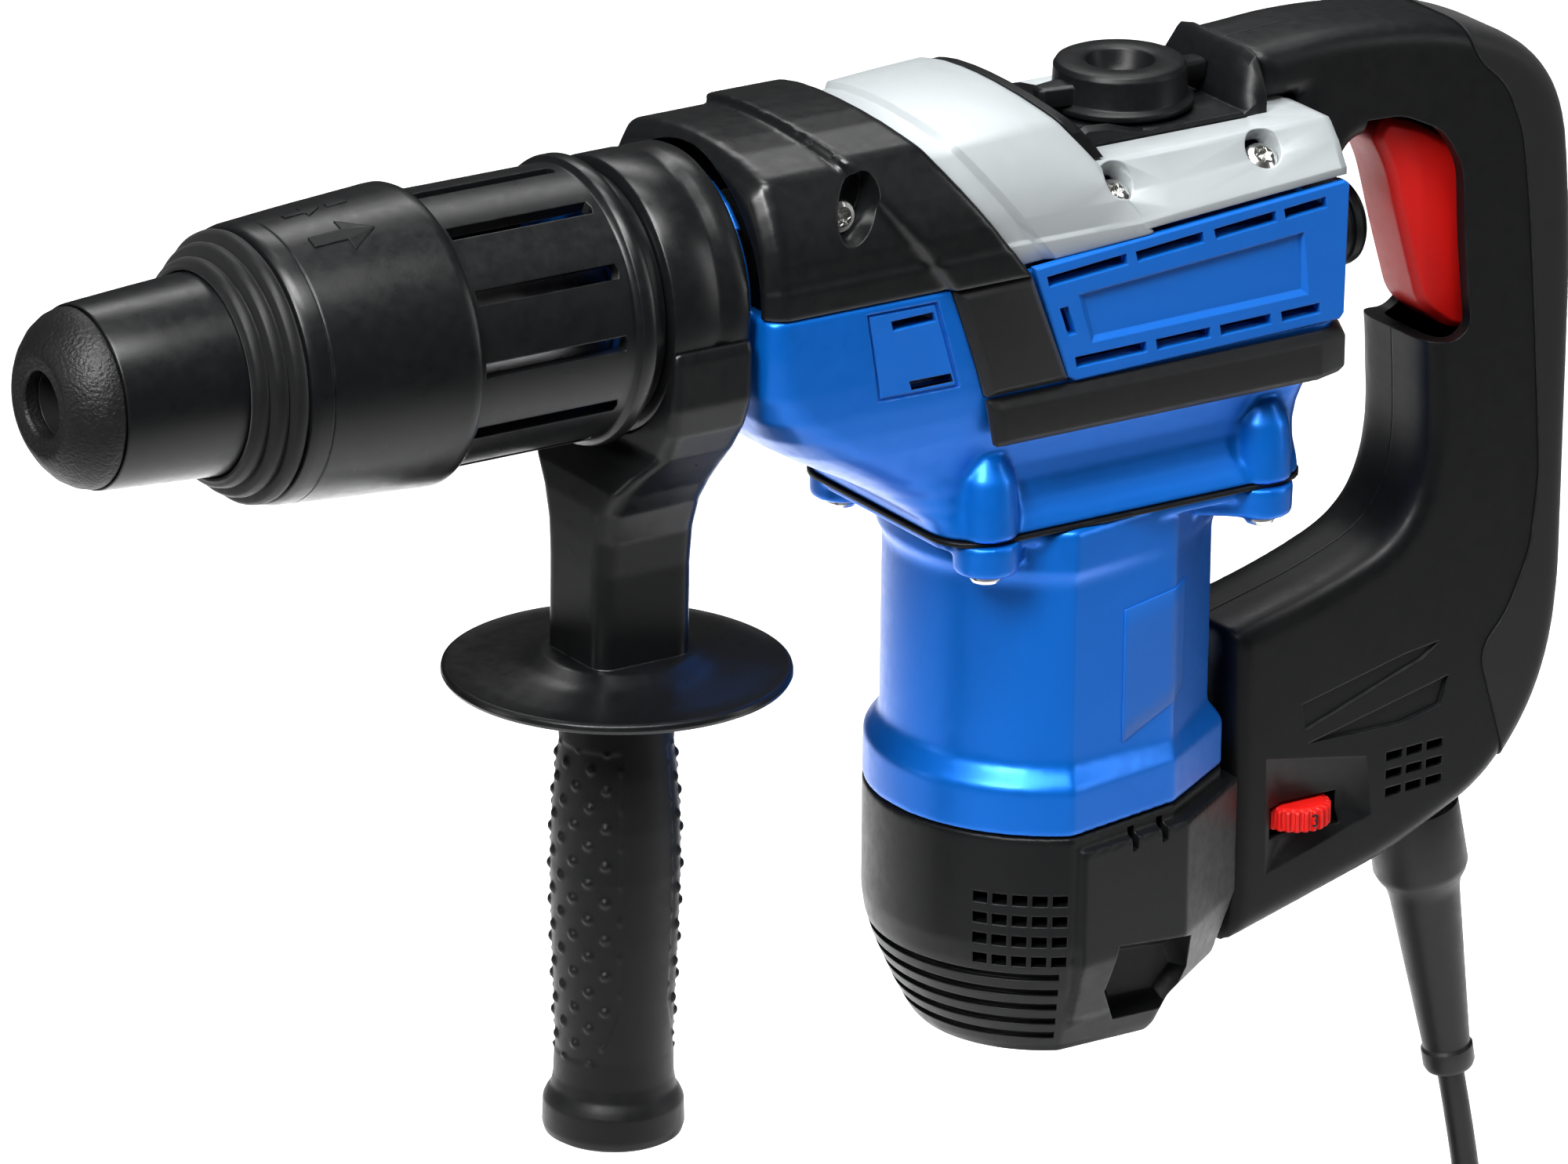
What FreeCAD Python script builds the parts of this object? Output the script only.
import FreeCAD, Part
import math
import os
import Sketcher
from FreeCAD import Placement, Rotation, Vector

# A rotary hammer for 18 mm shanks, in millimetres.
# +X points to the nose along the tool axis, +Z is up and +Y is the tool's left side.
# The origin is the centre of the mouth of the tool bore.

SIZES = {
    # nose, tool holder and locking sleeve: distances along X from the mouth of the bore
    "bore_radius": (9.05, "bore for the shank"),
    "cap_rear": (-12.5, "visible rear edge of the dust cap"),
    "cap_radius": (24.3, "dust cap"),
    "tube_rear": (-48.5, "rear of the visible front tube"),
    "tube_radius": (27.3, "front tube at its rear"),
    "sleeve_front": (-60.6, "front edge of the locking sleeve"),
    "sleeve_front_radius": (37.2, "sleeve at its front edge"),
    "sleeve_rear": (-111.0, "rear edge of the locking sleeve"),
    "sleeve_radius": (41.1, "sleeve at its rear edge"),
    "barrel_front": (-98.0, "front end of the slotted barrel"),
    "barrel_rear": (-161.3, "rear end of the slots' tube"),
    "barrel_radius": (37.6, "slotted barrel"),
    "lip_rear": (-171.3, "rear of the groove behind the barrel"),
    "lip_radius": (34.9, "bottom of that groove"),
    "slot_length": (42.0, "each long slot"),
    "slot_width": (4.0, "each long slot"),
    # side handle
    "band_rear": (-196.6, "rear edge of the clamp band"),
    "band_radius": (38.1, "clamp band"),
    "neck_radius": (30.0, "neck under the clamp band"),
    "post_x": (-179.0, "axis of the side handle"),
    "post_length": (26.0, "post section along X"),
    "post_width": (34.0, "post section along Y"),
    "guard_z": (-108.0, "underside of the round guard"),
    "guard_radius": (48.0, "round guard"),
    "grip_radius": (17.2, "side grip"),
    "grip_end_z": (-242.5, "bottom of the side grip"),
    # gear housing and covers
    "case_front": (-199.0, "front face of the housings"),
    "case_rear": (-388.0, "rear of the side panels"),
    "case_width": (44.0, "half width over the side panels"),
    "case_joint_z": (-1.0, "joint between gear housing and covers"),
    "gasket_z": (-77.0, "joint between gear and motor housings"),
    "cover_top": (43.0, "crown of the front cover"),
    "deck_z": (23.5, "deck under the selector knob"),
    "wall": (3.5, "housing wall"),
    # motor
    "motor_x": (-320.0, "motor axis"),
    "motor_radius": (47.5, "motor housing barrel"),
    "skirt_radius": (50.5, "motor housing skirt"),
    "skirt_top": (-150.0, "upper edge of the skirt"),
    "skirt_bottom": (-167.0, "joint between motor housing and end cap"),
    "base_z": (-238.0, "underside of the end cap"),
    # selector knob
    "knob_x": (-340.5, "axis of the selector knob"),
    "knob_radius": (19.0, "selector knob"),
    "knob_top": (36.5, "top of the selector knob"),
    # rear handle
    "handle_half": (18.0, "half thickness of the D handle"),
    "handle_rear": (-487.0, "rear of the D handle"),
    "handle_top": (35.0, "top of the D handle"),
    "grip_front": (-451.0, "front of the rear grip"),
    # drive
    "crank_x": (-290.0, "axis of the crank shaft"),
    "crank_throw": (14.0, "offset of the crank pin"),
    "gear_module": (1.15, "spur gears"),
    "pinion_teeth": (7, "armature pinion"),
    "crank_teeth": (45, "crank gear"),
    "middle_teeth": (22, "intermediate gear"),
    "bevel_teeth": (9, "bevel pinion"),
    "ring_teeth": (38, "bevel ring gear"),
    "bevel_module": (1.55, "bevel gears"),
    "bevel_outer": (29.45, "pitch radius of the bevel ring gear at its outer end"),
    "bevel_inner": (23.0, "the same at the inner end of its teeth"),
    "ring_back": (-235.6, "plain face of the bevel ring gear"),
    "spindle_rear": (-243.6, "rear end of the spindle tube"),
    "gear_floor": (-50.0, "underside of the spur gears"),
    "cylinder_radius": (17.05, "inside of the spindle tube"),
    "running_gap": (0.06, "radial clearance of running fits"),
    # mains cord
    "cord_diameter": (8.0, "mains cord"),
    "coil_diameter": (92.0, "coil, at the middle of its turns"),
}


class Size:
    """A length that keeps its sheet expression, so that what is built from it stays bound."""

    def __init__(self, value, text):
        self.value = value
        self.text = text

    def __add__(self, other):
        return Size(self.value + number(other), f"({self.text} + {written(other)})")

    def __radd__(self, other):
        return self + other

    def __sub__(self, other):
        return Size(self.value - number(other), f"({self.text} - {written(other)})")

    def __rsub__(self, other):
        return Size(number(other) - self.value, f"({written(other)} - {self.text})")

    def __mul__(self, other):
        return Size(self.value * number(other), f"({self.text} * {written(other)})")

    def __rmul__(self, other):
        return self * other

    def __truediv__(self, other):
        return Size(self.value / number(other), f"({self.text} / {written(other)})")

    def __neg__(self):
        return Size(-self.value, f"(0 - {self.text})")


def number(amount):
    """The plain value of a Size or of a number."""
    return amount.value if isinstance(amount, Size) else float(amount)


def written(amount):
    """The expression text of a Size or of a number."""
    return amount.text if isinstance(amount, Size) else f"({amount})"


class Sheet:
    """Gives each driving dimension as an attribute."""

    def __getattr__(self, alias):
        return Size(float(SIZES[alias][0]), f"Dimensions.{alias}")


S = Sheet()
doc = FreeCAD.newDocument("RotaryHammer")
sheet = doc.addObject("Spreadsheet::Sheet", "Dimensions")
for line, (alias, (value, meaning)) in enumerate(SIZES.items(), start=1):
    sheet.set(f"A{line}", meaning)
    sheet.set(f"B{line}", str(value))
    sheet.setAlias(f"B{line}", alias)
doc.recompute()

NODES = {}
TURN = {
    "x": Rotation(Vector(0, 1, 0), 90),
    "y": Rotation(Vector(1, 0, 0), -90),
    "z": Rotation(),
}


# ---- helpers -------------------------------------------------------------------------------

def bind(item, name, amount):
    """Sets a property, and its expression where the amount comes from the sheet."""
    setattr(item, name, number(amount))
    if isinstance(amount, Size):
        item.setExpression(name, amount.text)


def place(item, at, turn=None):
    """Puts an item at a point whose coordinates may come from the sheet."""
    item.Placement = Placement(Vector(*[number(part) for part in at]), turn or Rotation())
    for letter, part in zip("xyz", at):
        if isinstance(part, Size):
            item.setExpression(f"Placement.Base.{letter}", part.text)
    return item


def rod(name, radius, length, at, along="z"):
    """A cylinder from the point at, running along +X, +Y or +Z."""
    item = doc.addObject("Part::Cylinder", name)
    bind(item, "Radius", radius)
    bind(item, "Height", length)
    return place(item, at, TURN[along])


def block(name, size, low):
    """A box given by its lengths and its lowest corner."""
    item = doc.addObject("Part::Box", name)
    for side, amount in zip(("Length", "Width", "Height"), size):
        bind(item, side, amount)
    return place(item, low)


def cut(name, base, *tools):
    item = doc.addObject("Part::Cut", name)
    item.Base = base
    item.Tool = tools[0] if len(tools) == 1 else join(name + "_tools", *tools)
    return item


def join(name, *items):
    item = doc.addObject("Part::MultiFuse", name)
    item.Shapes = list(items)
    return item


def overlap(name, first, second):
    item = doc.addObject("Part::Common", name)
    item.Base = first
    item.Tool = second
    return item


def group(name, *items):
    """Separate solids that share one node."""
    item = doc.addObject("Part::Compound", name)
    item.Links = list(items)
    return item


def shaped(name, shape, at=(0, 0, 0), turn=None):
    """A sub-part whose shape comes straight from Part's own functions."""
    item = doc.addObject("Part::Feature", name)
    item.Shape = shape
    return place(item, at, turn)


def node(label, item):
    """Names a finished sub-part."""
    item.Label = label
    NODES[label] = item
    return item


def origin_plane(body, role):
    return [plane for plane in body.Origin.OriginFeatures if plane.Role == role][0]


def outline(body, name, plane, corners):
    """A closed sketch whose corners are dimensioned from the origin and bound to the sheet."""
    sketch = body.newObject("Sketcher::SketchObject", name)
    sketch.AttachmentSupport = [(origin_plane(body, plane), "")]
    sketch.MapMode = "FlatFace"
    count = len(corners)
    points = [Vector(number(across), number(up), 0) for across, up in corners]
    for index in range(count):
        sketch.addGeometry(Part.LineSegment(points[index], points[(index + 1) % count]), False)
    for index in range(count):
        sketch.addConstraint(Sketcher.Constraint("Coincident", index, 2, (index + 1) % count, 1))
    for index, corner in enumerate(corners):
        for kind, axis, amount in zip(("DistanceX", "DistanceY"), (-2, -1), corner):
            if number(amount) == 0:
                sketch.addConstraint(Sketcher.Constraint("PointOnObject", index, 1, axis))
                continue
            rule = Sketcher.Constraint(kind, -1, 1, index, 1, number(amount))
            place_in_list = sketch.addConstraint(rule)
            if isinstance(amount, Size):
                sketch.setExpression(f"Constraints[{place_in_list}]", amount.text)
    return sketch


def turned(name, corners, along="x", at=(0, 0, 0)):
    """A body turned round its own X axis from (x, radius), or round Z from (radius, z)."""
    body = doc.addObject("PartDesign::Body", name)
    sketch = outline(body, name + "_outline", "XZ_Plane", corners)
    feature = body.newObject("PartDesign::Revolution", name + "_turn")
    feature.Profile = sketch
    feature.ReferenceAxis = (sketch, ["H_Axis" if along == "x" else "V_Axis"])
    feature.Angle = 360
    body.Tip = feature
    return place(body, at)


def plate(name, corners, thickness, plane="XZ_Plane", at=(0, 0, 0)):
    """A body padded equally to both sides of one of its origin planes."""
    body = doc.addObject("PartDesign::Body", name)
    feature = body.newObject("PartDesign::Pad", name + "_pad")
    feature.Profile = outline(body, name + "_outline", plane, corners)
    feature.SideType = "Symmetric"
    bind(feature, "Length", thickness)
    body.Tip = feature
    return place(body, at)


def rounded(body, radius, wanted):
    """Rounds the edges of a body's last feature for which wanted(edge) is true."""
    doc.recompute()
    base = body.Tip
    names = [f"Edge{i}" for i, edge in enumerate(base.Shape.Edges, start=1) if wanted(edge)]
    feature = body.newObject("PartDesign::Fillet", body.Name + "_fillet")
    feature.Base = (base, names)
    feature.Radius = radius
    body.Tip = feature
    return body


def runs_along(letter):
    """Picks straight edges parallel to one axis."""
    def wanted(edge):
        if not isinstance(edge.Curve, Part.Line):
            return False
        return abs(getattr(edge.tangentAt(edge.FirstParameter), letter)) > 0.999
    return wanted


def ring(name, outer, inner, length, at, along="z"):
    """A plain tube."""
    return cut(name, rod(name + "_outside", outer, length, at, along),
               rod(name + "_bore", inner, length, at, along))


def gear_shape(teeth, module, thickness, bore, backlash=0.25):
    """A spur gear about Z whose first tooth points along +X."""
    pitch = teeth * module / 2
    tip = pitch + 0.75 * module
    root = pitch - 1.0 * module
    half_root = 0.31 * 2 * math.pi / teeth
    half_tip = 0.15 * 2 * math.pi / teeth
    shrink = backlash / (2 * pitch)
    corners = []
    for tooth in range(teeth):
        middle = 2 * math.pi * tooth / teeth
        for radius, angle in ((root, -half_root), (tip, -half_tip), (tip, half_tip), (root, half_root)):
            turn = middle + angle * (1 - shrink)
            corners.append(Vector(radius * math.cos(turn), radius * math.sin(turn), 0))
    face = Part.Face(Part.makePolygon(corners + corners[:1]))
    solid = face.extrude(Vector(0, 0, thickness))
    return solid.cut(Part.makeCylinder(bore, thickness)) if bore else solid


def middle_axis():
    """X of the shaft that carries the intermediate gear and the bevel pinion."""
    teeth = SIZES["crank_teeth"][0] + SIZES["middle_teeth"][0]
    return SIZES["crank_x"][0] + teeth * SIZES["gear_module"][0] / 2 + 0.25


def cone_teeth(teeth, mate_teeth, height, backlash=0.12):
    """A bevel gear as one toothed cone about Z, its apex at the origin, first tooth along +X."""
    pitch = math.atan(teeth / mate_teeth)
    reach = math.hypot(teeth, mate_teeth) / 2
    tip = height * math.tan(pitch + math.atan(0.75 / reach))
    root = height * math.tan(pitch - math.atan(1.0 / reach))
    corners = []
    for tooth in range(teeth):
        middle = 2 * math.pi * tooth / teeth
        for radius, part in ((root, -0.31), (tip, -0.15), (tip, 0.15), (root, 0.31)):
            turn = middle + part * (1 - backlash) * 2 * math.pi / teeth
            corners.append(Vector(radius * math.cos(turn), radius * math.sin(turn), height))
    apex = Vector(0, 0, 0)
    faces = [Part.Face(Part.makePolygon([apex, one, other, apex]))
             for one, other in zip(corners, corners[1:] + corners[:1])]
    faces.append(Part.Face(Part.makePolygon(corners + corners[:1])))
    return Part.Solid(Part.Shell(faces))


# ---- nose, tool holder and locking sleeve --------------------------------------------------

def build_nose():
    node("dust_cap", turned("dust_cap", [
        (0, S.bore_radius), (0, 14.5), (-2.4, 18.8), (-6.5, 22.6), (S.cap_rear + 1, S.cap_radius),
        (S.cap_rear - 7.5, S.cap_radius), (S.cap_rear - 7.5, 20), (-5, 20), (-5, S.bore_radius)]))
    node("front_tube", turned("front_tube", [
        (S.cap_rear - 7.8, 20.3), (S.cap_rear - 7.8, S.cap_radius + 0.3),
        (S.tube_rear, S.tube_radius), (-90, S.tube_radius), (-90, 20.3)]))
    holder = turned("holder_blank", [
        (-5.3, S.bore_radius), (-5.3, 19.6), (-92, 19.6), (-92, S.bore_radius)])
    windows = []
    for side, seat, slot in (("upper", 9.9, 8.0), ("lower", -21.9, -10.0)):
        windows.append(block(f"roller_seat_{side}", (17, 8.4, 12), (-52, -4.2, seat)))
        windows.append(block(f"roller_slot_{side}", (17, 5.0, 2.0), (-52, -2.5, slot)))
    node("tool_holder", cut("tool_holder", holder, *windows))
    rollers = [rod(f"roller_{side}", 3.9, 15, (-51, 0, up), "x")
               for side, up in (("upper", 14.0), ("lower", -14.0))]
    node("locking_rollers", group("locking_rollers", *rollers))
    ribs = [(-47.9, 27.7)]
    for step, radius in enumerate((30.6, 33.8, 36.6)):
        front = -48.2 - 4.1 * step
        ribs += [(front, radius - 1.2), (front - 1.0, radius),
                 (front - 3.4, radius), (front - 4.0, radius - 1.2)]
    ribs += [(-60.5, 35.6), (-60.5, 27.7)]
    node("sleeve_ribs", turned("sleeve_ribs", ribs))
    node("locking_sleeve", turned("locking_sleeve", [
        (S.sleeve_front, 27.7), (S.sleeve_front, S.sleeve_front_radius),
        (S.sleeve_rear + 3, S.sleeve_radius), (S.sleeve_rear, S.sleeve_radius - 0.6),
        (S.sleeve_rear, S.barrel_radius + 0.8), (-84, S.barrel_radius + 0.8),
        (-84, 34), (-63, 34), (-63, 27.7)]))
    helix = Part.makeHelix(4.0, 22.0, 30.6)
    start = Part.Wire(Part.makeCircle(1.1, Vector(30.6, 0, 0), Vector(0, 1, 0)))
    spring = Part.Wire(helix.Edges).makePipeShell([start], True, True)
    node("sleeve_spring", shaped("sleeve_spring", spring, (-97, 0, 0), TURN["x"]))
    # the slotted barrel and the groove behind it
    barrel = turned("barrel_blank", [
        (S.barrel_front, 33.6), (S.barrel_front, S.barrel_radius), (S.barrel_rear, S.barrel_radius),
        (S.barrel_rear - 0.6, S.barrel_radius + 1.6), (S.barrel_rear - 4.6, S.barrel_radius + 1.6),
        (S.barrel_rear - 5.2, S.lip_radius), (S.lip_rear, S.lip_radius), (S.lip_rear, 30.3),
        (S.barrel_rear - 2, 30.3), (S.barrel_rear - 2, 33.6)])
    slots = []
    for turn in range(6):
        slot = block(f"barrel_slot_{turn}", (S.slot_length, 90, S.slot_width), (-156, 0, 0))
        angle = 30 * turn
        lean = Rotation(Vector(1, 0, 0), angle)
        slot.Placement = Placement(Vector(-156, 0, 0), lean).multiply(
            Placement(Vector(0, -45, -SIZES["slot_width"][0] / 2), Rotation()))
        slots.append(slot)
    node("slotted_barrel", cut("slotted_barrel", barrel, *slots))


# ---- hammer mechanism ----------------------------------------------------------------------

def build_hammer():
    node("spindle_tube", turned("spindle_tube", [
        (-92.2, S.cylinder_radius), (-92.2, 21), (S.spindle_rear, 21),
        (S.spindle_rear, S.cylinder_radius)]))
    node("impact_bolt", turned("impact_bolt", [
        (-93.5, 0), (-93.5, 8.8), (-112, 8.8), (-114, S.cylinder_radius - S.running_gap),
        (-126, S.cylinder_radius - S.running_gap), (-128, 10.5), (-142, 10.5), (-142, 0)]))
    node("striker", turned("striker", [
        (-152, 0), (-152, 9.5), (-160, 9.5), (-162, S.cylinder_radius - S.running_gap),
        (-186, S.cylinder_radius - S.running_gap), (-186, 0)]))
    piston = turned("piston_blank", [
        (-211, 0), (-211, S.cylinder_radius - S.running_gap), (-243, S.cylinder_radius - S.running_gap),
        (-243, 13.0), (-218, 13.0), (-218, 0)])
    pin_hole = rod("piston_pin_hole", 4.05, 40, (-234, -20, 0), "y")
    node("piston", cut("piston", piston, pin_hole))
    node("wrist_pin", rod("wrist_pin", 4.0, 32.4, (-234, -16.2, 0), "y"))
    rod_blank = plate("rod_blank", [(-228, -4.2), (-228, 4.2), (-298, 4.2), (-298, -4.2)], 11)
    rod_eye = rod("rod_eye_hole", 4.05, 20, (-234, -10, 0), "y")
    rod_end = rod("rod_end_hole", 4.6, 12, (S.crank_x, 0, -6), "z")
    node("connecting_rod", cut("connecting_rod", rod_blank, rod_eye, rod_end))
    # the two bevel gears share an apex, where the bevel shaft's axis crosses the tool axis
    apex_x = middle_axis()
    back = SIZES["ring_back"][0] - apex_x
    teeth = SIZES["ring_teeth"][0]
    cone = cone_teeth(teeth, SIZES["bevel_teeth"][0], back)
    room = Part.makeCylinder(SIZES["bevel_outer"][0] + 1.4, back).cut(Part.makeCylinder(21.05, back))
    # half a tooth of turn puts a gap where the pinion's first tooth is
    turn = Rotation(Vector(0, 1, 0), 90).multiply(Rotation(Vector(0, 0, 1), 180 / teeth))
    node("bevel_ring_gear", shaped("bevel_ring_gear", cone.common(room), (apex_x, 0, 0), turn))


def build_drive():
    module = SIZES["gear_module"][0]
    crank_teeth, middle_teeth = SIZES["crank_teeth"][0], SIZES["middle_teeth"][0]
    pinion_teeth = SIZES["pinion_teeth"][0]
    crank_gear = gear_shape(crank_teeth, module, 8, 8.0)
    node("crank_gear", shaped("crank_gear", crank_gear, (S.crank_x, 0, S.gear_floor)))
    crank = join("crank_blank", rod("crank_spindle", 7.97, 46, (S.crank_x, 0, -62)),
                 rod("crank_disc", 20, 7, (S.crank_x, 0, -16)),
                 rod("crank_pin", 4.2, 3.6, (S.crank_x + S.crank_throw, 0, -9)))
    node("crank_shaft", crank)
    node("crank_bearing", ring("crank_bearing", 17, 8.03, 10, (S.crank_x, 0, -33)))
    middle_x = middle_axis()
    # half a tooth of turn lets the two gears mesh at rest
    middle = gear_shape(middle_teeth, module, 8, 5.0)
    node("intermediate_gear", shaped("intermediate_gear", middle, (middle_x, 0, S.gear_floor),
                                     Rotation(Vector(0, 0, 1), 180 / middle_teeth)))
    outer, inner = SIZES["bevel_outer"][0], SIZES["bevel_inner"][0]
    cone = cone_teeth(SIZES["bevel_teeth"][0], SIZES["ring_teeth"][0], outer)
    bevel = cone.common(Part.makeCylinder(12, outer - inner, Vector(0, 0, inner)))
    shaft = bevel.fuse(Part.makeCylinder(4.97, 52 - outer, Vector(0, 0, outer)))
    node("bevel_shaft", shaped("bevel_shaft", shaft, (middle_x, 0, 0), Rotation(Vector(1, 0, 0), 180)))
    # the crank gear has an odd number of teeth, so a gap faces the pinion's first tooth
    pinion = gear_shape(pinion_teeth, module, 10, 0)
    motor_gap = (pinion_teeth + crank_teeth) * module / 2
    shaft_x = SIZES["crank_x"][0] - motor_gap - 0.1
    pinion_top = shaped("armature_pinion", pinion, (shaft_x, 0, S.gear_floor - 1))
    armature = join("armature_shaft", pinion_top,
                    rod("armature_rod_upper", 2.6, 12, (shaft_x, 0, -62)),
                    rod("armature_rod", 5.96, 168, (shaft_x, 0, -229)))
    node("armature_shaft", armature)
    node("armature_bearings", group("armature_bearings",
         ring("upper_bearing", 14, 6.0, 9, (shaft_x, 0, -74)),
         ring("lower_bearing", 14, 6.0, 9, (shaft_x, 0, -229))))
    node("rotor_core", ring("rotor_core", 26, 5.97, 62, (shaft_x, 0, -165)))
    node("commutator", ring("commutator", 15, 5.97, 20, (shaft_x, 0, -196)))
    hub = ring("fan_hub", 37, 5.97, 2.5, (shaft_x, 0, -86))
    blades = []
    for turn in range(12):
        blade = block(f"fan_blade_{turn}", (22, 1.6, 7), (0, 0, 0))
        lean = Rotation(Vector(0, 0, 1), 30 * turn)
        blade.Placement = Placement(Vector(shaft_x, 0, -93), lean).multiply(
            Placement(Vector(16, -0.8, 0), Rotation()))
        blades.append(blade)
    node("cooling_fan", join("cooling_fan", hub, *blades))
    node("stator_core", ring("stator_core", 39, 27.5, 60, (shaft_x, 0, -164)))
    node("field_coils", group("field_coils",
         ring("coil_upper", 37.5, 28.5, 8, (shaft_x, 0, -103.8)),
         ring("coil_lower", 37.5, 28.5, 8, (shaft_x, 0, -172.2))))
    holders = []
    brushes = []
    for side, sign in (("left", 1), ("right", -1)):
        box_y, space_y = (17, 16) if sign > 0 else (-39, -40)
        outside = block(f"brush_box_{side}", (14, 22, 12), (shaft_x - 7, box_y, -193))
        inside = block(f"brush_space_{side}", (8.4, 24, 6.4), (shaft_x - 4.2, space_y, -190.2))
        holders.append(cut(f"brush_holder_{side}", outside, inside))
        brushes.append(block(f"brush_{side}", (8, 18, 6), (shaft_x - 4, 15.3 if sign > 0 else -33.3, -190)))
    node("brush_holders", group("brush_holders", *holders))
    node("carbon_brushes", group("carbon_brushes", *brushes))
    plate_blank = plate("gearbox_blank", [(-268, -74), (-268, -65), (-372, -65), (-372, -74)], 55)
    node("gearbox_plate", cut("gearbox_plate", plate_blank,
         rod("gearbox_bore", 14.02, 12, (shaft_x, 0, -75))))


# ---- housings ------------------------------------------------------------------------------

def arch(half, low, shoulder_y, shoulder_z, crown, inset=0):
    """The half-round section of the covers, in (y, z), as a closed wire at x = 0."""
    side, top = half - inset, crown - inset
    shoulder, height = shoulder_y - inset, shoulder_z - inset
    near, far = (shoulder, height), (-shoulder, height)
    points = [Vector(0, *near), Vector(0, side, low + 12), Vector(0, side, low),
              Vector(0, -side, low), Vector(0, -side, low + 12), Vector(0, *far)]
    edges = [Part.LineSegment(a, b).toShape() for a, b in zip(points, points[1:])]
    edges.append(Part.Arc(points[-1], Vector(0, 0, top), points[0]).toShape())
    return Part.Wire(edges)


def leaning_blade(x_crown, side):
    """Everything in front of (side +1) or behind (side -1) the leaning joint of the covers.
    The joint leans back by 34 in 44 from the crown to the side panels."""
    crown, foot = SIZES["cover_top"][0], SIZES["case_joint_z"][0]
    slope = 34 / 44
    reach = 200 * side
    high, low = crown + 20, foot - 10
    points = [(x_crown + slope * (high - crown), high), (x_crown + slope * (low - crown), low)]
    corners = [Vector(x, -80, z) for x, z in points]
    corners += [Vector(x + reach, -80, z) for x, z in reversed(points)]
    face = Part.Face(Part.makePolygon(corners + corners[:1]))
    return face.extrude(Vector(0, 160, 0))


def build_covers():
    front, rear = SIZES["case_front"][0], SIZES["case_rear"][0]
    half, joint = SIZES["case_width"][0], SIZES["case_joint_z"][0]
    crown, deck, wall = SIZES["cover_top"][0], SIZES["deck_z"][0], SIZES["wall"][0]

    def tunnel(section_half, shoulder_y, shoulder_z, top, start, end, inset=0):
        wire = arch(section_half, joint, shoulder_y, shoulder_z, top, inset)
        return Part.Face(wire).extrude(Vector(start - end, 0, 0)).translated(Vector(end, 0, 0))

    # front cover: an arched hood that ends at a leaning joint, with a nose opening
    hood = tunnel(half, 38, 37, crown, front, -290)
    hollow = tunnel(half, 38, 37, crown, front - wall, -291, wall)
    mouth = Part.makeCylinder(31, 20, Vector(front - 10, 0, 0), Vector(1, 0, 0))
    hood = hood.cut(hollow).cut(mouth).common(leaning_blade(-248, 1))
    for side in (1, -1):
        hood = hood.cut(Part.makeCylinder(5.5, 14, Vector(-229, side * 50, 27), Vector(0, -side, 0)))
    node("front_cover", shaped("front_cover", hood))
    # top cover: a lower arch behind the hood, closed by an end wall, then a flat deck whose sides slope
    raised = tunnel(half - 2.5, 35, 33, crown - 2, -215, -330)
    space = tunnel(half - 2.5, 35, 33, crown - 2, -214, -331, wall).common(leaning_blade(-289.5, 1))
    raised = raised.cut(space).common(leaning_blade(-293, 1)).common(leaning_blade(-248.2, -1))
    section = [Vector(0, half - 1, joint), Vector(0, half - 1, joint + 6), Vector(0, 34, deck),
               Vector(0, -34, deck), Vector(0, -half + 1, joint + 6), Vector(0, -half + 1, joint)]
    inner = [Vector(0, half - 1 - wall, joint), Vector(0, half - 1 - wall, joint + 4),
             Vector(0, 31.5, deck - wall), Vector(0, -31.5, deck - wall),
             Vector(0, -half + 1 + wall, joint + 4), Vector(0, -half + 1 + wall, joint)]
    length = Vector(-260 - rear, 0, 0)
    flat = Part.Face(Part.makePolygon(section + section[:1])).extrude(length)
    flat = flat.cut(Part.Face(Part.makePolygon(inner + inner[:1])).extrude(length))
    flat = flat.translated(Vector(rear, 0, 0)).common(leaning_blade(-293, -1))
    opening = Part.makeBox(60, 48, wall + 2, Vector(-372, -24, deck - wall - 1))
    flat = flat.cut(opening)
    cover = raised.fuse(flat).removeSplitter()
    # the upper edges of the side panels rise to the rear, and the cover is rebated over them
    for side in (1, -1):
        edge = [Vector(x, side * 41, z)
                for x, z in ((-260, -3), (-282.5, -0.8), (-400, 7.5), (-400, -3))]
        cover = cover.cut(Part.Face(Part.makePolygon(edge + edge[:1])).extrude(Vector(0, side * 8, 0)))
    node("top_cover", shaped("top_cover", cover))
    # selector plate fills the opening in the deck
    plate_blank = block("selector_blank", (59.4, 47.4, S.wall + 1.5),
                        (-371.7, -23.7, S.deck_z - S.wall))
    knob_bore = rod("selector_bore", 8.1, 30, (S.knob_x, 0, 5))
    node("selector_plate", cut("selector_plate", plate_blank, knob_bore))
    disc = turned("selector_knob", [
        (0, 10), (8.0, 10), (8.0, S.deck_z + 1.9), (21, S.deck_z + 1.9), (21, S.deck_z + 3.6),
        (S.knob_radius - 1, S.deck_z + 3.6), (S.knob_radius, S.knob_top - 1.2),
        (S.knob_radius - 1.2, S.knob_top), (9.4, S.knob_top), (7.4, S.knob_top - 8),
        (0, S.knob_top - 8)],
        "z", (S.knob_x, 0, 0))
    pointer = block("knob_pointer", (11, 8, 3.0), (S.knob_x + 17, -4, S.knob_top - 7))
    tail = block("knob_tail", (11, 8, 3.0), (S.knob_x - 28, -4, S.knob_top - 7))
    node("selector_knob", join("selector_knob_whole", disc, pointer, tail))


def screw_places():
    """The four long screws that hold the motor housing to the gear housing."""
    return [(x, y) for x in (-275, -366) for y in (-36, 36)]


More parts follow.
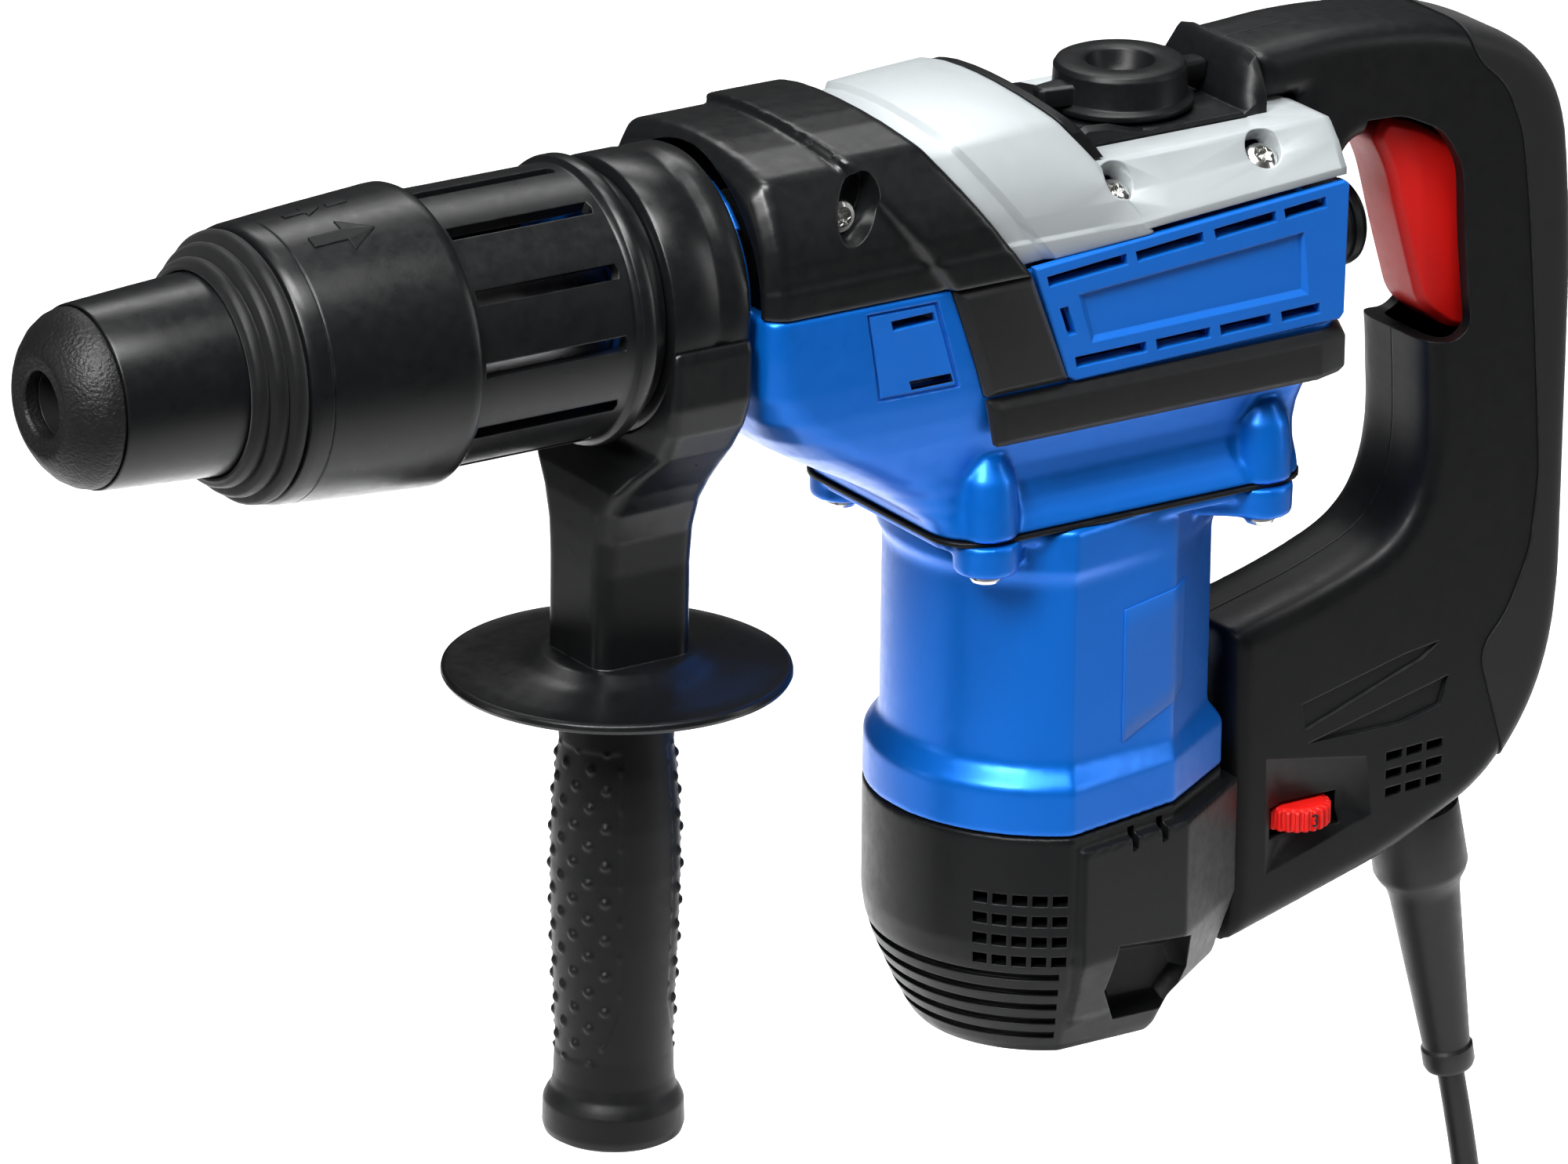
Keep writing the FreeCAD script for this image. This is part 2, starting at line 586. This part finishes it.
def build_gear_case():
    outer = plate("case_side", [
        (S.case_front, S.case_joint_z), (S.case_front, -38), (-222, -50), (-256, -S.band_radius - 26),
        (-262, S.gasket_z), (-380, S.gasket_z), (-383, -50), (S.case_rear, -36),
        (S.case_rear, S.case_joint_z)], 2 * (S.case_width - 3))
    inner = plate("case_space", [
        (S.case_front - S.wall, 4), (S.case_front - S.wall, -34), (-222, -45.5), (-256, -58.5),
        (-264, -72), (-264, -90), (-377, -90), (-379.5, -50), (S.case_rear + S.wall, -36),
        (S.case_rear + S.wall, 4)], 2 * (S.case_width - 3 - S.wall))
    rounded(outer, 9, lambda edge: runs_along("z")(edge) and edge.BoundBox.XMin < -370)
    neck = rod("neck_tube", S.neck_radius, -163 - S.case_front, (S.case_front, 0, 0), "x")
    neck_hole = rod("neck_hole", 21.6, 60, (-210, 0, 0), "x")
    bosses = [rod(f"boss_{-x}_{y + 40}", 7.5, 24, (x, y, S.gasket_z)) for x, y in screw_places()]
    shell = cut("case_shell", outer, inner)
    blank = join("case_blank", shell, neck, *bosses)
    holes = [rod(f"boss_hole_{-x}_{y + 40}", 2.6, 22, (x, y, S.gasket_z))
             for x, y in screw_places()]
    node("gear_housing", cut("gear_housing", blank, neck_hole, *holes))
    # slotted side panels
    for name, side in (("side_panel_left", 1), ("side_panel_right", -1)):
        body = plate(name + "_blank", [(-283, -1.2), (-385, 6.0), (-384.5, -31), (-296, -34)], 2.6,
                     at=(0, side * (S.case_width - 1.4), 0))
        slots = []
        for row, (first, rise) in enumerate((((-291, -8.5)), ((-301, -31.0)))):
            for index in range(4):
                x = first - 23.0 * index
                z = rise + (1.7 if row == 0 else 0.7) * index
                low = (x - 17, side * (SIZES["case_width"][0] - 1.4) - 4, z)
                slots.append(block(f"{name}_slot_{row}_{index}", (17, 8, 3.6), low))
        node(name, cut(name, body, *slots))
    bumpers = []
    for name, side in (("left", 1), ("right", -1)):
        body = plate(f"bumper_{name}", [(-257.5, -1.4), (-281.5, -1.4), (-294, -33), (-269, -33)], 4.4,
                     at=(0, side * (S.case_width - 0.6), 0))
        bumpers.append(body)
    node("front_bumpers", group("front_bumpers", *bumpers))
    band_out = plate("band_outside", [(-269, -34.6), (-392.6, -34.6), (-392.6, -48), (-272, -48)],
                     2 * (S.case_width + 1.6))
    rounded(band_out, 10, lambda edge: runs_along("y")(edge) is False and edge.BoundBox.XMax < -385
            and edge.BoundBox.ZLength > 5)
    band_in = plate("band_inside", [(-260, -30), (-388.4, -30), (-388.4, -52), (-260, -52)],
                    2 * (S.case_width - 2.8))
    node("rear_bumper", cut("rear_bumper", band_out, band_in))
    gasket = cut("case_gasket_blank",
                 block("gasket_outside", (118, 82, 1.2), (-380, -41, S.gasket_z - 1.2)),
                 block("gasket_inside", (104, 54, 4), (-373, -27, S.gasket_z - 2)),
                 *[rod(f"gasket_hole_{number(x):.0f}_{y}", 2.8, 6, (x, y, S.gasket_z - 4))
                   for x, y in screw_places()])
    node("case_gasket", gasket)


def build_motor_case():
    top = S.gasket_z - 1.3
    barrel = turned("motor_barrel", [
        (0, top), (S.motor_radius, top), (S.motor_radius, S.skirt_top),
        (S.skirt_radius, S.skirt_top - 4), (S.skirt_radius, S.skirt_bottom), (0, S.skirt_bottom)],
        "z", (S.motor_x, 0, 0))
    flange = plate("motor_flange", [(-262, -41), (-262, 41), (-380, 41), (-380, -41)], 9, "XY_Plane",
                   (0, 0, S.gasket_z - 5.8))
    rounded(flange, 12, runs_along("z"))
    space = turned("motor_space", [
        (0, -60), (41.5, -60), (41.5, S.skirt_bottom - 5), (0, S.skirt_bottom - 5)], "z", (S.motor_x, 0, 0))
    holes = [rod(f"flange_hole_{-x}_{y + 40}", 2.8, 12, (x, y, S.gasket_z - 11))
             for x, y in screw_places()]
    node("motor_housing", cut("motor_housing", join("motor_blank", barrel, flange), space, *holes))
    outside = turned("cap_outside", [
        (0, S.skirt_bottom - 0.3), (S.skirt_radius, S.skirt_bottom - 0.3), (S.skirt_radius, -205),
        (47, -215), (45, -215.6), (44.5, -221), (42, -222), (41, -228), (38, -229.4), (36, S.base_z),
        (0, S.base_z)], "z", (S.motor_x, 0, 0))
    inside = turned("cap_inside", [
        (0, -150), (46.5, -150), (46.5, -204), (36, -226), (33, S.base_z + 3), (0, S.base_z + 3)],
        "z", (S.motor_x, 0, 0))
    vents = []
    for row in range(4):
        for index in range(5):
            slot = block(f"cap_vent_{row}_{index}", (12, 4.0, 3.4), (0, 0, 0))
            turn = Rotation(Vector(0, 0, 1), 36 + 6.4 * index)
            slot.Placement = Placement(Vector(-320, 0, -191.5 - 6.1 * row), turn).multiply(
                Placement(Vector(44, -2.0, 0), Rotation()))
            vents.append(slot)
    node("end_cap", cut("end_cap", outside, inside, *vents))
    screws = []
    for x, y in screw_places():
        head = rod(f"screw_head_{-x}_{y + 40}", 4.6, 3.4, (x, y, S.gasket_z - 13.8))
        stem = rod(f"screw_stem_{-x}_{y + 40}", 2.5, 28, (x, y, S.gasket_z - 10.4))
        screws.append(join(f"case_screw_{-x}_{y + 40}", head, stem))
    for side, start in (("left", 38.5), ("right", -41.5)):
        screws.append(rod(f"cover_screw_{side}", 4.4, 3, (-229, start, 27), "y"))
    node("housing_screws", group("housing_screws", *screws))


# ---- rear handle, trigger and speed wheel --------------------------------------------------

def build_rear_handle():
    profile = [
        (S.case_rear - 0.3, S.deck_z + 0.2), (S.case_rear + 15, S.deck_z + 0.2),
        (S.case_rear + 15, S.handle_top + 1), (-405, S.handle_top + 3), (-440, S.handle_top), (-470, 27),
        (-483, 9), (S.handle_rear, -30), (S.handle_rear, -150), (-480, -172), (-463, -195), (-428, -211),
        (-371, -227), (-371, -140), (-432, -126), (-446, -113), (S.grip_front, -70), (-448, -18),
        (-436, -3), (-416, -3), (-405, -16), (-402, -33), (S.case_rear - 0.3, -33)]
    whole = plate("handle_whole", profile, 2 * S.handle_half)
    rounded(whole, 5, lambda edge: not runs_along("y")(edge))
    rim = [Vector(number(x), 0, number(z)) for x, z in profile]
    inner_face = Part.Face(Part.makePolygon(rim + rim[:1])).makeOffset2D(-3.5)
    depth = SIZES["handle_half"][0] - 3.5
    hollow = inner_face.translated(Vector(0, -depth, 0)).extrude(Vector(0, 2 * depth, 0))
    handle_space = shaped("handle_space", hollow)
    trigger_space = block("trigger_space", (34, 21.4, 74), (-472, -10.7, -72))
    cap_space = rod("cap_space", 12.8, 32, (-420, 0, -21.8), "x")
    wheel_space = block("wheel_space", (24, 24, 9), (-410, 1, -195))
    for name, low in (("rear_handle_left", 0.1), ("rear_handle_right", -60.1)):
        half = overlap(name + "_half", whole, block(name + "_side", (140, 60, 300), (-500, low, -240)))
        node(name, cut(name, half, handle_space, trigger_space, cap_space, wheel_space))
    pad = plate("handle_grip_pad", [
        (-449, S.handle_top - 0.5), (-471.5, 28.4), (-485, 9), (S.handle_rear - 2.2, -30),
        (S.handle_rear - 2.2, -150), (-482, -173), (-474, -182), (-480, -172), (S.handle_rear - 0.2, -150),
        (S.handle_rear - 0.2, -30), (-483.2, 9.2), (-470.2, 27.2)], 2 * (S.handle_half - 4))
    node("handle_grip_pad", pad)
    node("rear_cap", rod("rear_cap", 12.5, 29.4, (-418, 0, -21.8), "x"))
    trigger = plate("trigger_blank", [
        (-434, -8), (-436, -26), (-441, -50), (-454, -62), (-459, -58), (-460, -8)], 19)
    rounded(trigger, 2, runs_along("y"))
    node("trigger", cut("trigger", trigger, rod("trigger_hole", 2.3, 30, (-455, -15, -14), "y")))
    node("trigger_pin", rod("trigger_pin", 2.25, 28.6, (-455, -14.3, -14), "y"))
    node("switch_module", block("switch_module", (5, 20, 44), (-481.5, -10, -58)))
    node("speed_wheel", speed_wheel())


def speed_wheel():
    """The ribbed wheel, standing out of the left shell by its rim."""
    disc = rod("wheel_disc", 9.4, 7, (-398, 12.0, -194))
    ribs = []
    for turn in range(24):
        rib = block(f"wheel_rib_{turn}", (0.8, 1.2, 7), (0, 0, 0))
        lean = Rotation(Vector(0, 0, 1), 15 * turn)
        rib.Placement = Placement(Vector(-398, 12.0, -194), lean).multiply(
            Placement(Vector(9.2, -0.6, 0), Rotation()))
        ribs.append(rib)
    return join("speed_wheel", disc, *ribs)


# ---- side handle ---------------------------------------------------------------------------

def build_side_handle():
    node("clamp_band", turned("clamp_band", [
        (S.lip_rear - 0.5, S.neck_radius + 0.08), (S.lip_rear - 0.5, S.band_radius),
        (S.band_rear, S.band_radius), (S.band_rear, S.neck_radius + 0.08)]))
    shoulder = plate("post_shoulder", [
        (-34, -8), (34, -8), (30, -34), (S.post_width / 2, -58), (S.post_width / 2, S.guard_z + 4),
        (-S.post_width / 2, S.guard_z + 4), (-S.post_width / 2, -58), (-30, -34)],
        S.post_length - 1, "YZ_Plane", (S.post_x - 4, 0, 0))
    clear = rod("post_clear", S.band_radius + 0.1, 60, (-220, 0, 0), "x")
    post = cut("post_body", shoulder, clear)
    guard = turned("guard_disc", [
        (0, S.guard_z + 5), (19, S.guard_z + 5), (24, S.guard_z + 3.4),
        (S.guard_radius - 4, S.guard_z + 2.4), (S.guard_radius, S.guard_z + 0.6),
        (S.guard_radius, S.guard_z - 1), (S.guard_radius - 4, S.guard_z - 2),
        (14, S.guard_z - 2), (14, S.guard_z - 7), (0, S.guard_z - 7)], "z", (S.post_x, 0, 0))
    bolt_hole = rod("post_bolt_hole", 4.2, 60, (S.post_x, 0, -120))
    node("handle_post", cut("handle_post", join("post_whole", post, guard), bolt_hole))
    node("side_grip", turned("side_grip", [
        (4.4, S.guard_z - 7.3), (14.6, S.guard_z - 7.3), (S.grip_radius - 1, -135), (S.grip_radius, -165),
        (S.grip_radius - 1.4, -205), (S.grip_radius - 0.8, -228), (18.8, -232), (18.8, -238),
        (16, S.grip_end_z), (0, S.grip_end_z), (0, -150), (4.4, -150)], "z", (S.post_x, 0, 0)))
    node("clamp_bolt", rod("clamp_bolt", 3.97, 78, (S.post_x, 0, -149)))


# ---- mains cord ----------------------------------------------------------------------------

# exit from the strain relief, then down and round to the coil that lies below
RELIEF_TOP = (-449.0, 0.0, -207.0)
CORD_ROUTE = [
    (-465.0, 0.0, -288.0), (-471.5, 1.0, -319.0), (-474.0, 3.0, -350.0), (-457.0, 10.0, -377.0),
    (-426.0, 20.0, -388.0), (-392.0, 24.0, -388.0), (-358.0, 22.0, -388.0),
]
FLOOR_Z = -392.0


def tube_along(points, radius):
    """Straight runs joined by tangent arcs, each as large as its two runs allow."""
    knots = [Vector(*point) for point in points]
    edges = []
    last = knots[0]
    radii = []
    for before, corner, after in zip(knots, knots[1:], knots[2:]):
        back, ahead = (before - corner), (after - corner)
        shorter = min(back.Length, ahead.Length)
        turn = math.pi - back.getAngle(ahead)
        radii.append(0.45 * shorter / math.tan(turn / 2))
        leg = 0.45 * shorter
        start, end = corner + back.normalize() * leg, corner + ahead.normalize() * leg
        inward = ((start - corner) + (end - corner)).normalize()
        gap = radii[-1] / math.cos(turn / 2) - radii[-1]
        edges.append(Part.LineSegment(last, start).toShape())
        edges.append(Part.Arc(start, corner + inward * gap, end).toShape())
        last = end
    edges.append(Part.LineSegment(last, knots[-1]).toShape())
    spine = Part.Wire(edges)
    heading = knots[1] - knots[0]
    profile = Part.Wire(Part.makeCircle(radius, knots[0], heading))
    solid = spine.makePipeShell([profile], True, True)
    ratio = solid.Volume / (math.pi * radius ** 2 * spine.Length)
    print("cord radii", [round(value) for value in radii], "length", round(spine.Length),
          "volume over section times length", round(ratio, 4))
    return solid


def build_cord():
    radius = SIZES["cord_diameter"][0] / 2
    top, bottom = Vector(*RELIEF_TOP), Vector(*CORD_ROUTE[0])
    along = (bottom - top).normalize()
    length = (bottom - top).Length
    sleeve = Part.makeCone(10.5, 6.2, length - 16, top + along * 16, along)
    bulb = Part.makeCylinder(14, 10, top + along * 6, along)
    bulb = bulb.fuse(Part.makeCone(14, 10.5, 6, top + along * 16, along))
    node("strain_relief", shaped("strain_relief", bulb.fuse(sleeve).removeSplitter()))
    node("mains_cord", shaped("mains_cord", tube_along(CORD_ROUTE, radius)))
    coil_mean = SIZES["coil_diameter"][0] / 2
    # four turns lie side by side in three layers, and two more lie on top
    half_width, height = 4 * radius, 4 * 2 * radius
    centre = Vector(CORD_ROUTE[-1][0], CORD_ROUTE[-1][1] - coil_mean, FLOOR_Z)
    coil = Part.makeCylinder(coil_mean + half_width, height, centre)
    coil = coil.cut(Part.makeCylinder(coil_mean - half_width, height, centre))
    node("cord_coil", shaped("cord_coil", coil))
    # the plug lies on the coil, in line with the last turn
    plug_base = Vector(centre.x + 27, centre.y + coil_mean - radius, FLOOR_Z + height + 0.3)
    body = Part.makeCylinder(17, 34, plug_base + Vector(-17, 0, 17), Vector(1, 0, 0))
    plug = body.fuse(Part.makeCone(15, 6, 22, plug_base + Vector(-17, 0, 17), Vector(-1, 0, 0)))
    for side in (9.5, -9.5):
        plug = plug.fuse(Part.makeCylinder(2.4, 19, plug_base + Vector(17, side, 17), Vector(1, 0, 0)))
    node("mains_plug", shaped("mains_plug", plug.removeSplitter()))


# ---- build, check and write ----------------------------------------------------------------

for build in (build_nose, build_hammer, build_drive, build_covers, build_gear_case, build_motor_case,
              build_rear_handle, build_side_handle, build_cord):
    build()
doc.recompute()

faults = [f"{item.Label}: {item.State}" for item in doc.Objects
          if "Invalid" in item.State or "Error" in item.State]
for label, item in NODES.items():
    if item.Shape.isNull() or not item.Shape.isValid() or not item.Shape.Solids:
        faults.append(f"{label}: no valid solid")
if faults:
    raise RuntimeError("; ".join(faults))

os.makedirs("parts", exist_ok=True)
for label, item in NODES.items():
    item.Shape.exportStep(f"parts/{label}.step")
print(len(NODES), "sub-parts written")
for label, item in NODES.items():
    print(f"{label:20s} solids {len(item.Shape.Solids)} volume {item.Shape.Volume / 1000:9.2f} cm3")
